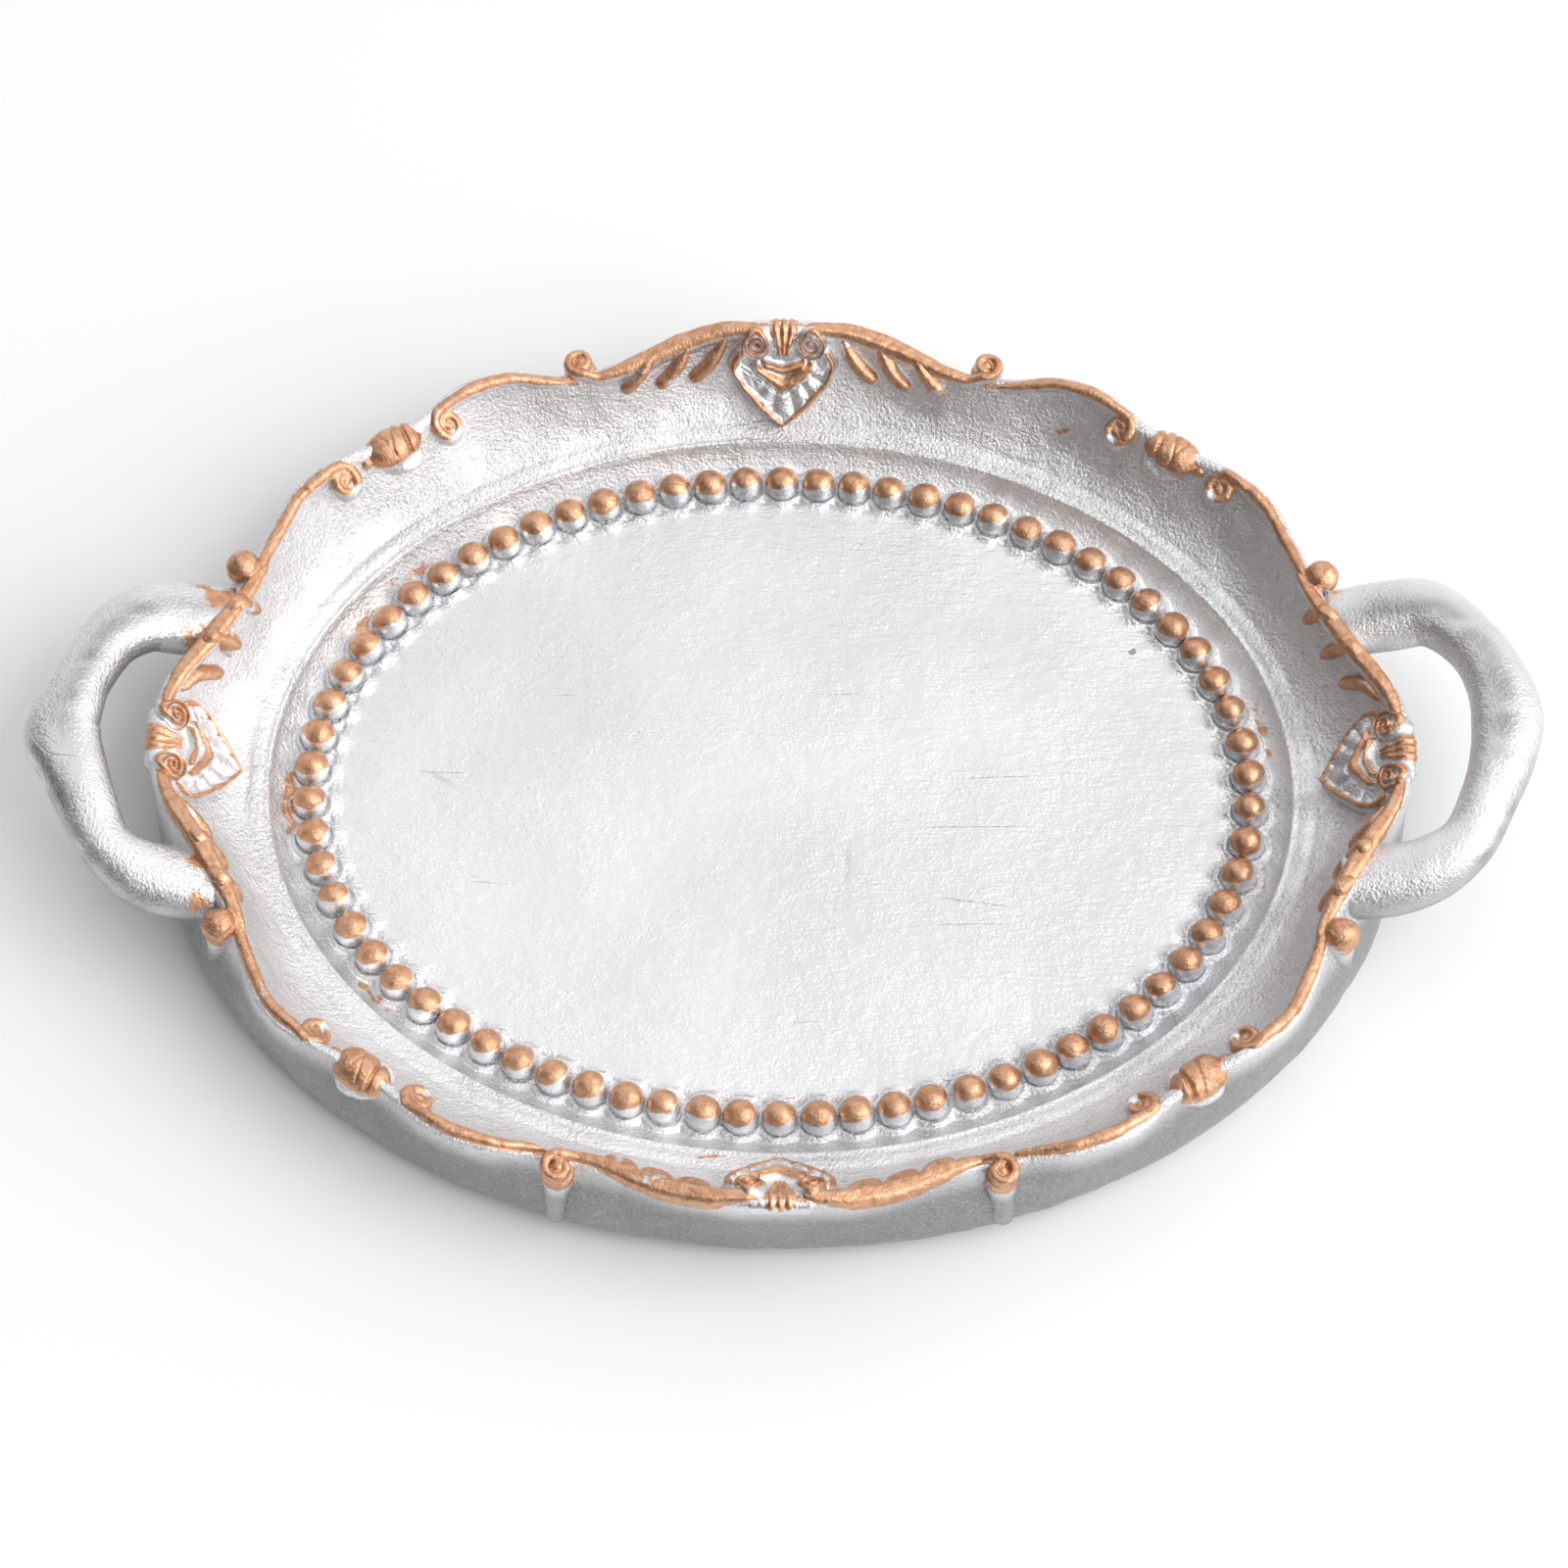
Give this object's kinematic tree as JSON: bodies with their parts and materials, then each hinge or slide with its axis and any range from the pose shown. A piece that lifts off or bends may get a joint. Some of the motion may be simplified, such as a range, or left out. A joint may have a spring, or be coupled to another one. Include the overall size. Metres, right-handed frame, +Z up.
{
  "type": "vanity tray",
  "caption": "Oval vanity tray with a scalloped rim, relief scrolls and shield cartouches, a beaded border round the flat floor and two raised bracket handles.",
  "frame": {"origin": "centre of the underside, on the surface the tray stands on", "axes": "+X along the two handles, +Y across the tray, +Z up"},
  "size_m": [0.199, 0.1314, 0.0237],
  "materials": {
    "silver_body": "cast resin under brushed silver metallic paint, fine sandy grain",
    "gilt_beads": "cast resin, silver metallic paint with copper rubbed over the tops",
    "gilt_relief": "cast resin, silver metallic paint with copper dry-brushed on the raised edges"
  },
  "bodies": {
    "root": {"tray_body": "silver_body", "handle_left": "silver_body", "handle_right": "silver_body", "bead_ring": "gilt_beads", "cartouche_back": "gilt_relief", "cartouche_front": "gilt_relief", "cartouche_left": "gilt_relief", "cartouche_right": "gilt_relief", "rim_scroll_end_back_right": "gilt_relief", "rim_scroll_end_back_left": "gilt_relief", "rim_scroll_end_front_right": "gilt_relief", "rim_scroll_end_front_left": "gilt_relief", "rim_scroll_corner_back_right": "gilt_relief", "rim_scroll_corner_back_left": "gilt_relief", "rim_scroll_corner_front_right": "gilt_relief", "rim_scroll_corner_front_left": "gilt_relief", "rim_scroll_middle_back_right": "gilt_relief", "rim_scroll_middle_back_left": "gilt_relief", "rim_scroll_middle_front_right": "gilt_relief", "rim_scroll_middle_front_left": "gilt_relief", "rim_scroll_long_back_right": "gilt_relief", "rim_scroll_long_back_left": "gilt_relief", "rim_scroll_long_front_right": "gilt_relief", "rim_scroll_long_front_left": "gilt_relief", "bud_back_right": "gilt_relief", "bud_back_left": "gilt_relief", "bud_front_right": "gilt_relief", "bud_front_left": "gilt_relief", "leaves_long_back_right": "gilt_relief", "leaves_long_back_left": "gilt_relief", "leaves_long_front_right": "gilt_relief", "leaves_long_front_left": "gilt_relief", "leaves_end_back_right": "gilt_relief", "leaves_end_back_left": "gilt_relief", "leaves_end_front_right": "gilt_relief", "leaves_end_front_left": "gilt_relief"}
  },
  "joints": []
}
